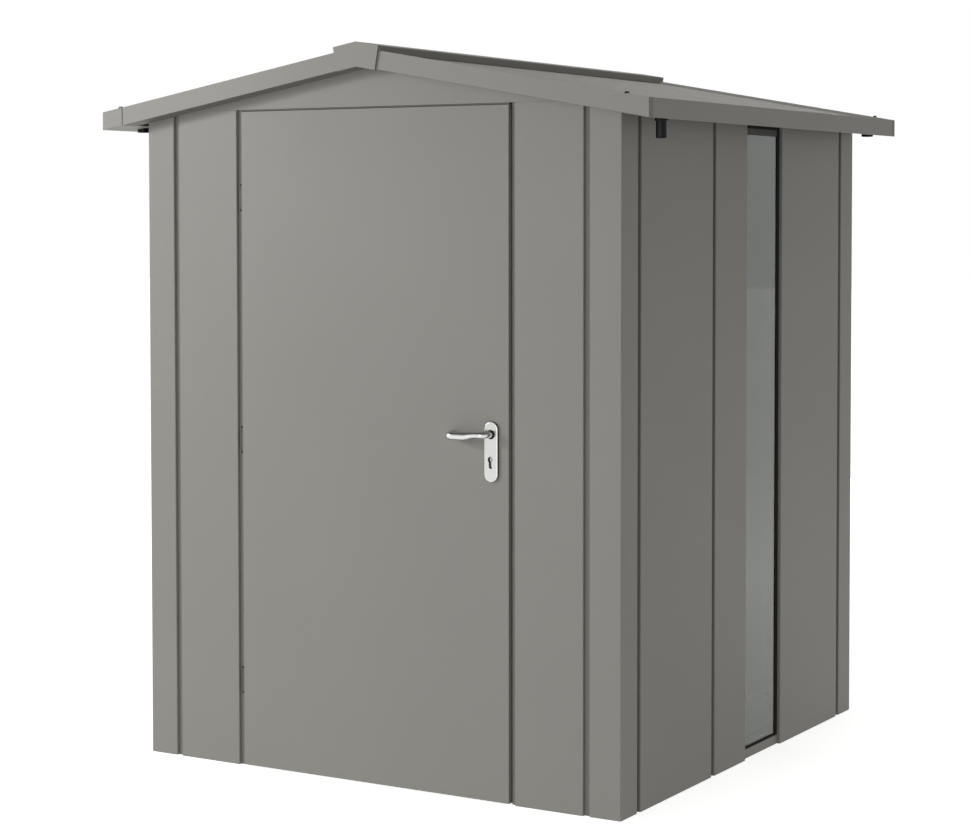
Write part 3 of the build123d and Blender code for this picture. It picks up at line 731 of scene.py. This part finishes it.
# Hinges: three hinges hidden in the groove at the left of the door, each with slim knuckles on one pin.
# Coated steel in a dark grey that is painted shade, so that they blend with the groove's shade; the long
# middle knuckle is on the leaf, the two short ones on the groove's floor.
KNUCKLE_RADIUS = 2.2 * MM
KNUCKLE_TALL = 4 * MM
KNUCKLE_TRIM = 26 * MM
PIN_RADIUS = 1.1 * MM
STRAP = 1.2 * MM
STRAP_SUNK = 1.0 * MM
KNUCKLE_EDGE = 0.3 * MM
ROD_FACETS = 24
# Painted shade: the hinges are coated dark grey to match the shade in the groove.
painted_shade_hinge_coat = powder_coat("hinge_painted_shade_coat", "#6a6965", "#646360")
swing = next(joint for joint in frame["record"]["behaviour"]["joints"] if joint["name"] == "door_swing")
pivot_x, pivot_y = swing["pos_m"][:2]
leaf_low, leaf_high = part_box("door_leaf")
groove_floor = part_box("front_joint_strips")[0].y


def add_rod(shape, radius, low, high):
    middle = Matrix.Translation((pivot_x, pivot_y, (low + high) / 2))
    bmesh.ops.create_cone(
        shape, cap_ends=True, segments=ROD_FACETS, radius1=radius, radius2=radius,
        depth=high - low, matrix=middle,
    )


def add_block(shape, low, high):
    low, high = Vector(low), Vector(high)
    bmesh.ops.create_cube(
        shape, size=1, matrix=Matrix.Translation((low + high) / 2) @ Matrix.Diagonal((*(high - low), 1)),
    )


for node, body in (("door_hinges", "door"), ("frame_hinges", "shed")):
    shape = bmesh.new()
    for low, high in solid_boxes(node):
        if body == "door":
            add_rod(shape, KNUCKLE_RADIUS, low.z, high.z)
            add_block(
                shape, (pivot_x, pivot_y - STRAP / 2, low.z),
                (leaf_low.x + STRAP_SUNK, pivot_y + STRAP / 2, high.z),
            )
            continue
        pin_foot, pin_head = low.z + KNUCKLE_TRIM, high.z - KNUCKLE_TRIM
        add_rod(shape, PIN_RADIUS, pin_foot, pin_head)
        for foot in (pin_foot, pin_head - KNUCKLE_TALL):
            add_rod(shape, KNUCKLE_RADIUS, foot, foot + KNUCKLE_TALL)
            add_block(
                shape, (pivot_x - STRAP / 2, pivot_y, foot),
                (pivot_x + STRAP / 2, groove_floor + STRAP_SUNK, foot + KNUCKLE_TALL),
            )
    knuckles = pressed(node + "_knuckles", shape)
    round_edges(knuckles, KNUCKLE_EDGE, 2)
    fit(knuckles, painted_shade_hinge_coat, body, "hinge_steel", node)

# Door leaf: a flush leaf of coated sheet folded round a core, hung at its left edge.
# Its face lies in one plane with the wall panels, and it reaches almost to the ground.
door_coat = powder_coat("door_grey_powder_coat", WALL_GREY, WALL_SHADE)
dressed("door_leaf_skin", "door_leaf", FOLD, door_coat, "door", "door_grey")

# Door strips: one under the gable, in the slit over the leaf, and one down the free edge of the leaf.
# Folded coated sheet in a dark grey that is painted shade for the slits, set a little behind the faces;
# they close the slits against draughts.
HEAD_BACK = 3 * MM
HEAD_DEEP = 10 * MM
HEAD_CLEAR = 1.5 * MM
EDGE_BACK = 8 * MM
EDGE_DEEP = 14 * MM
EDGE_REACH = 4 * MM
EDGE_END = 12 * MM
# Painted shade: the strips are coated dark grey to stand for the shade in the slits.
painted_shade_slit_coat = powder_coat("slit_painted_shade_coat", "#6a6965", "#646360", 0.6)
gable_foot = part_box("gable_front")[0].z
for strip_name, body, low, high in (
    ("door_head_strip", "shed", (leaf_low.x, leaf_low.y + HEAD_BACK, leaf_high.z + HEAD_CLEAR),
     (leaf_high.x, leaf_low.y + HEAD_BACK + HEAD_DEEP, gable_foot + STRAP_SUNK)),
    ("door_edge_strip", "door", (leaf_high.x - STRAP_SUNK, leaf_low.y + EDGE_BACK, leaf_low.z + EDGE_END),
     (leaf_high.x + EDGE_REACH, leaf_low.y + EDGE_BACK + EDGE_DEEP, leaf_high.z - EDGE_END)),
):
    shape = bmesh.new()
    add_block(shape, low, high)
    strip = pressed(strip_name, shape)
    round_edges(strip, KNUCKLE_EDGE, 2)
    fit(strip, painted_shade_slit_coat, body, "joint_grey")

# Handle plates: long plates with round ends on both faces of the leaf, cut out for the lock.
# Stamped with rolled edges from satin-polished stainless steel and bolted through the leaf; their sides
# are coated black, a painted dark reflection and shade.
PLATE_ROLL = 2.5 * MM
ROLL_STEPS = 5
CUT_EDGE = 0.3 * MM
CUT_EASE = 1.0 * MM
TAIL_WIDTH = 10 * MM
TAIL_DROP = 24 * MM
FACES_EDGE_ON = 0.1

# Stainless steel: bright, with upright polishing lines that blur what it mirrors.
LINE_WIDTH = 0.8 * MM
LINE_STRETCH = 0.02
LINE_DEPTH = 0.05 * MM
satin_steel, tree, place = new_finish("satin_stainless_steel")
stretch = add_node(tree, "ShaderNodeMapping", {"Vector": place, "Scale": (1, 1, LINE_STRETCH)})
lines = add_node(tree, "ShaderNodeTexNoise", {"Vector": stretch.outputs[0], "Scale": 1 / LINE_WIDTH})
line_bump = add_node(tree, "ShaderNodeBump", {
    "Strength": 0.04, "Distance": LINE_DEPTH, "Height": lines.outputs[0],
})
steel = add_node(tree, "ShaderNodeMix", {
    0: lines.outputs[0], 6: linear("#c0c1bf"), 7: linear("#cbccca"),
}, data_type="RGBA")
polish = add_node(tree, "ShaderNodeMapRange", {"Value": lines.outputs[0], "To Min": 0.14, "To Max": 0.22})
shader = add_node(tree, "ShaderNodeBsdfPrincipled", {
    "Base Color": steel.outputs[2], "Roughness": polish.outputs[0], "Normal": line_bump.outputs[0],
    "Metallic": 1.0,
})
add_node(tree, "ShaderNodeOutputMaterial", {"Surface": shader.outputs[0]})


def slot_outline(centre_x, top, bottom, radius, inset):
    reach = radius - inset
    points = []
    for middle_z, first_angle in ((top - radius, 0), (bottom + radius, math.pi)):
        for step in range(ARC_STEPS + 1):
            angle = first_angle + math.pi * step / ARC_STEPS
            points.append((centre_x + reach * math.cos(angle), middle_z + reach * math.sin(angle)))
    return points


cylinder_low, cylinder_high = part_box("lock_cylinder")
lock_x = (cylinder_low.x + cylinder_high.x) / 2
lock_z = (cylinder_low.z + cylinder_high.z) / 2


def lock_outline(ease):
    radius = (cylinder_high.x - cylinder_low.x) / 2 + ease
    tail = TAIL_WIDTH / 2 + ease
    tail_z = lock_z - TAIL_DROP + TAIL_WIDTH / 2
    open_angle = math.asin(tail / radius)
    points = []
    for step in range(ARC_STEPS + 1):
        angle = -math.pi / 2 + open_angle + (math.tau - 2 * open_angle) * step / ARC_STEPS
        points.append((lock_x + radius * math.cos(angle), lock_z + radius * math.sin(angle)))
    for step in range(ARC_STEPS + 1):
        angle = math.pi + math.pi * step / ARC_STEPS
        points.append((lock_x + tail * math.cos(angle), tail_z + tail * math.sin(angle)))
    return points


def cut_out(piece, cutter):
    knife = piece.modifiers.new("cut_out", "BOOLEAN")
    knife.operation = "DIFFERENCE"
    knife.solver = "EXACT"
    knife.object = cutter
    piece.data = plain_mesh(piece)
    piece.data.name = piece.name
    piece.modifiers.remove(knife)
    bpy.data.objects.remove(cutter)


def faces_edge_on(centre, normal):
    return abs(normal.y) < FACES_EDGE_ON


for plate in ("handle_plate_outer", "handle_plate_inner"):
    plate_low, plate_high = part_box(plate)
    plate_x = (plate_low.x + plate_high.x) / 2
    half_width = (plate_high.x - plate_low.x) / 2
    out = -1 if plate.endswith("outer") else 1
    face_y, back_y = (plate_low.y, plate_high.y) if out < 0 else (plate_high.y, plate_low.y)
    layers = [(back_y, slot_outline(plate_x, plate_high.z, plate_low.z, half_width, 0))]
    for step in range(ROLL_STEPS + 1):
        angle = math.pi / 2 * step / ROLL_STEPS
        inset = PLATE_ROLL * (1 - math.cos(angle))
        depth = PLATE_ROLL * (1 - math.sin(angle))
        points = slot_outline(plate_x, plate_high.z, plate_low.z, half_width, inset)
        layers.append((face_y - out * depth, points))
    stamping = stacked(plate + "_stamping", layers)
    hole = lock_outline(CUT_EASE)
    hole_layers = [(back_y - out * PLATE_ROLL, hole), (face_y + out * PLATE_ROLL, hole)]
    cut_out(stamping, stacked("lock_hole", hole_layers))
    round_edges(stamping, CUT_EDGE, 2)
    fit(stamping, satin_steel, "door", "satin_steel", plate)
    # Painted reflection and shade: the sides of the plates are coated black.
    recoat(stamping, black_plastic, faces_edge_on)

# Bearing rings: plain bushes round the necks of the two levers, where they leave the plates.
# Moulded black plastic, pressed into the plates.
RING_WIDTH = 3.2 * MM
RING_PROUD = 3.0 * MM
RING_ROUND = 1.0 * MM
RING_GAP = 0.3 * MM
NECK_SHARE = 0.88
lever_low, lever_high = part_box("lever_outer")
spindle_low, spindle_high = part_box("lever_spindle")
spindle_x = (spindle_low.x + spindle_high.x) / 2
spindle_z = (spindle_low.z + spindle_high.z) / 2
bar_radius = (lever_high.z - lever_low.z) / 2
ring_inner = bar_radius * NECK_SHARE + RING_GAP
ring_outer = ring_inner + RING_WIDTH


def circle(radius):
    turns = [math.tau * step / TURN_STEPS for step in range(TURN_STEPS)]
    return [(spindle_x + radius * math.cos(turn), spindle_z + radius * math.sin(turn)) for turn in turns]


for out, plate in ((-1, "handle_plate_outer"), (1, "handle_plate_inner")):
    plate_low, plate_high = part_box(plate)
    plate_face = plate_low.y if out < 0 else plate_high.y
    seat = plate_face - out * PLATE_ROLL
    crown = plate_face + out * RING_PROUD
    section = (
        (ring_inner, seat), (ring_outer, seat), (ring_outer, crown - out * RING_ROUND),
        (ring_outer - RING_ROUND, crown), (ring_inner, crown),
    )
    bush = bmesh.new()
    rings = [[bush.verts.new((x, y, z)) for x, z in circle(radius)] for radius, y in section]
    for lower, upper in zip(rings, rings[1:] + rings[:1]):
        for number in range(TURN_STEPS):
            after = (number + 1) % TURN_STEPS
            bush.faces.new((lower[number], lower[after], upper[after], upper[number]))
    bmesh.ops.recalc_face_normals(bush, faces=bush.faces)
    ring = pressed(plate + "_ring", bush)
    round_edges(ring, CUT_EDGE, 2)
    fit(ring, black_plastic, "door", "black_plastic")

# Lock cylinder: a round plug over a tail, set back in the cut-outs of the plates, a key slot at each end.
# Brass plated with satin nickel, as bright as the plates; a screw in the edge of the leaf holds it.
LOCK_SUNK = 7 * MM
LOCK_EDGE = 0.8 * MM
SLOT_WIDTH = 2.6 * MM
SLOT_HEIGHT = 9.5 * MM
SLOT_PROUD = 0.15 * MM
lock_front = cylinder_low.y + LOCK_SUNK
lock_back = cylinder_high.y - LOCK_SUNK
barrel = stacked("lock_cylinder_profile", [
    (lock_front, lock_outline(-LOCK_EDGE)), (lock_front + LOCK_EDGE, lock_outline(0)),
    (lock_back - LOCK_EDGE, lock_outline(0)), (lock_back, lock_outline(-LOCK_EDGE)),
])
smooth_faces(barrel)
fit(barrel, satin_steel, "door", "satin_steel", "lock_cylinder")
key_slot = slot_outline(lock_x, lock_z + SLOT_HEIGHT / 2, lock_z - SLOT_HEIGHT / 2, SLOT_WIDTH / 2, 0)
for out, lock_y, face_name in ((-1, lock_front, "outer"), (1, lock_back, "inner")):
    keyway = stacked("key_slot_" + face_name, [
        (lock_y - out * LOCK_EDGE, key_slot), (lock_y + out * SLOT_PROUD, key_slot),
    ])
    smooth_faces(keyway)
    fit(keyway, black_plastic, "door", "black_plastic")

# Lever handles: bars bent back towards the leaf at their ends, one on each face, on one spindle.
# Forged stainless steel, slim at the neck, full in the grip and polished.
# The necks turn in the black rings.
BAR_BEND = 18 * MM
BAR_FACETS = 10
BEND_STEPS = 10
GRIP_STEPS = 12
WAIST_SHARE = 0.77
GRIP_SHARE = 1.1
WAIST_AT = 30 * MM
SWELL = 42 * MM
GRIP_DROP = 5 * MM
TIP_ROUND = 2.5 * MM
TIP_GAP = 8 * MM


def ease(place, start, length):
    share = min(max((place - start) / length, 0), 1)
    return share * share * (3 - 2 * share)


for lever in ("lever_outer", "lever_inner"):
    lever_low, lever_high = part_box(lever)
    away = -1 if lever == "lever_outer" else 1
    neck_y, far_y = (lever_high.y, lever_low.y) if away < 0 else (lever_low.y, lever_high.y)
    bar_y = far_y - away * bar_radius
    tip_x = lever_low.x + bar_radius
    tip_y = (leaf_low.y if away < 0 else leaf_high.y) + away * TIP_GAP
    route = [(spindle_x, neck_y)]
    for step in range(BEND_STEPS + 1):
        angle = math.pi / 2 * step / BEND_STEPS
        route.append((
            spindle_x - BAR_BEND * (1 - math.cos(angle)), bar_y - away * BAR_BEND * (1 - math.sin(angle)),
        ))
    straight = spindle_x - tip_x - 2 * BAR_BEND
    for step in range(1, GRIP_STEPS):
        route.append((spindle_x - BAR_BEND - straight * step / GRIP_STEPS, bar_y))
    for step in range(BEND_STEPS + 1):
        angle = math.pi / 2 * step / BEND_STEPS
        route.append((
            tip_x + BAR_BEND * (1 - math.sin(angle)), bar_y - away * BAR_BEND * (1 - math.cos(angle)),
        ))
    route.append((tip_x, tip_y))
    bar = bpy.data.curves.new(lever + "_route", "CURVE")
    bar.dimensions = "3D"
    bar.bevel_depth = bar_radius
    bar.bevel_resolution = BAR_FACETS
    bar.use_fill_caps = True
    run = bar.splines.new("POLY")
    run.points.add(len(route) - 1)
    for point, (x, y) in zip(run.points, route):
        along = spindle_x - x
        swell = ease(along, WAIST_AT, SWELL)
        waist = NECK_SHARE + (WAIST_SHARE - NECK_SHARE) * ease(along, 0, WAIST_AT)
        point.co = (x, y, spindle_z - GRIP_DROP * swell, 1)
        point.radius = waist + (GRIP_SHARE - waist) * swell
    guide = linked(lever + "_guide", bar)
    grip = linked(lever + "_bar", plain_mesh(guide))
    bpy.data.objects.remove(guide)
    round_edges(grip, TIP_ROUND)
    fit(grip, satin_steel, "lever", "satin_steel", lever)
spindle_finishes = frame["nodes"]["lever_spindle"].data.materials
spindle_finishes.clear()
spindle_finishes.append(zinc_plate)

# Stage: a pale floor that keeps the shadow, soft lamps round the shed, and the camera.
# The floor and the sky are white to the camera and to mirrors, and dimmer where they light the walls.
# High overhead the sky falls off to a dim ceiling.
SKY = 0.2
CEILING = 0.12
CEILING_START = 0.32
CEILING_END = 0.6
BOUNCE_NEAR = 0.21
BOUNCE_FAR = 0.0
FLOOR_HALF = 40.0
UNDER_HALF = 0.8
GLOW_NEAR = 0.75
GLOW_START = 0.9
GLOW_END = 3.2
floor_mesh = bpy.data.meshes.new("floor")
floor_mesh.from_pydata([
    (-FLOOR_HALF, -FLOOR_HALF, 0), (FLOOR_HALF, -FLOOR_HALF, 0),
    (FLOOR_HALF, FLOOR_HALF, 0), (-FLOOR_HALF, FLOOR_HALF, 0),
], [], [(0, 1, 2, 3)])
floor = linked("floor", floor_mesh)


def seen_rays(ray_tree):
    path = add_node(ray_tree, "ShaderNodeLightPath").outputs
    direct = add_node(ray_tree, "ShaderNodeMath", {
        0: path["Is Camera Ray"], 1: path["Is Glossy Ray"],
    }, operation="MAXIMUM")
    return add_node(ray_tree, "ShaderNodeMath", {
        0: direct.outputs[0], 1: path["Is Transmission Ray"],
    }, operation="MAXIMUM").outputs[0]


pale_floor, tree, place = new_finish("pale_matt_floor")
spot = add_node(tree, "ShaderNodeSeparateXYZ", {0: place})
off_x = add_node(tree, "ShaderNodeMath", {0: spot.outputs["X"]}, operation="ABSOLUTE")
off_y = add_node(tree, "ShaderNodeMath", {0: spot.outputs["Y"]}, operation="ABSOLUTE")
off = add_node(tree, "ShaderNodeMath", {0: off_x.outputs[0], 1: off_y.outputs[0]}, operation="MAXIMUM")
outside = add_node(tree, "ShaderNodeMath", {0: off.outputs[0], 1: UNDER_HALF}, operation="GREATER_THAN")
rise = add_node(tree, "ShaderNodeMapRange", {
    "Value": off.outputs[0], "From Min": GLOW_START, "From Max": GLOW_END,
    "To Min": GLOW_NEAR, "To Max": 1.0,
})
bounce = add_node(tree, "ShaderNodeMapRange", {
    "Value": off.outputs[0], "From Min": GLOW_START, "From Max": GLOW_END,
    "To Min": BOUNCE_NEAR, "To Max": BOUNCE_FAR,
})
level = add_node(tree, "ShaderNodeMix", {0: seen_rays(tree), 2: bounce.outputs[0], 3: rise.outputs[0]})
glow = add_node(tree, "ShaderNodeMath", {0: level.outputs[0], 1: outside.outputs[0]}, operation="MULTIPLY")
matt = add_node(tree, "ShaderNodeBsdfDiffuse", {"Color": linear("#e8e8e6")})
lit = add_node(tree, "ShaderNodeEmission", {"Color": (1, 1, 1, 1), "Strength": glow.outputs[0]})
both = add_node(tree, "ShaderNodeAddShader", {0: matt.outputs[0], 1: lit.outputs[0]})
add_node(tree, "ShaderNodeOutputMaterial", {"Surface": both.outputs[0]})
floor.data.materials.append(pale_floor)

world = bpy.data.worlds.new("white_sky")
bpy.context.scene.world = world
world.use_nodes = True
tree = world.node_tree
tree.nodes.clear()
upward = add_node(tree, "ShaderNodeTexCoord").outputs["Generated"]
climb = add_node(tree, "ShaderNodeSeparateXYZ", {0: upward}).outputs["Z"]
overhead = add_node(tree, "ShaderNodeMapRange", {
    "Value": climb, "From Min": CEILING_START, "From Max": CEILING_END, "To Min": 1.0, "To Max": CEILING,
})
level = add_node(tree, "ShaderNodeMix", {0: seen_rays(tree), 2: SKY, 3: overhead.outputs[0]})
sky = add_node(tree, "ShaderNodeBackground", {"Color": (1, 1, 1, 1), "Strength": level.outputs[0]})
add_node(tree, "ShaderNodeOutputWorld", {"Surface": sky.outputs[0]})

LAMPS = (
    ("near_left_key", (-3.0, -3.2, 2.5), (0.0, -0.8, 1.3), 0.6, 41.0),
    ("far_left_key", (-4.4, -4.7, 2.3), (0.0, -0.8, 1.3), 1.6, 47.0),
    ("front_fill", (0.5, -7.0, 1.8), (0.0, -0.8, 1.0), 4.0, 89.0),
    ("right_fill", (5.5, 0.5, 0.5), (0.8, 0.2, 0.8), 2.5, 4.0),
    ("top_fill", (0.0, 0.0, 6.0), (0.0, 0.0, 0.0), 5.0, 105.0),
    ("rear_fill", (-1.0, 7.0, 1.8), (0.0, 0.8, 1.0), 4.0, 100.0),
)
for lamp_name, lamp_place, lamp_target, lamp_size, lamp_power in LAMPS:
    lamp_data = bpy.data.lights.new(lamp_name, "AREA")
    lamp_data.shape = "SQUARE"
    lamp_data.size = lamp_size
    lamp_data.energy = lamp_power
    lamp = linked(lamp_name, lamp_data)
    lamp.location = lamp_place
    lamp.visible_glossy = lamp_name != "top_fill"
    lamp_aim = Vector(lamp_target) - Vector(lamp_place)
    lamp.rotation_euler = lamp_aim.to_track_quat("-Z", "Y").to_euler()

CAMERA_PLACE = (3.7367, -6.3276, 1.6760)
CAMERA_TURN = 30.194
CAMERA_TILT = 2.304
FRAME_WIDTH = 970
FOCAL_PIXELS = 2280.8
SENSOR_WIDTH = 36.0
SHIFT_ACROSS = -0.046
SHIFT_UP = -0.115
camera_data = bpy.data.cameras.new("photo_angle")
camera_data.sensor_width = SENSOR_WIDTH
camera_data.lens = FOCAL_PIXELS / FRAME_WIDTH * SENSOR_WIDTH
camera_data.shift_x = SHIFT_ACROSS
camera_data.shift_y = SHIFT_UP
camera = linked("photo_angle", camera_data)
camera.location = CAMERA_PLACE
camera.rotation_euler = (math.radians(90 - CAMERA_TILT), 0, math.radians(CAMERA_TURN))
bpy.context.scene.camera = camera
bpy.context.scene.view_settings.view_transform = "Standard"
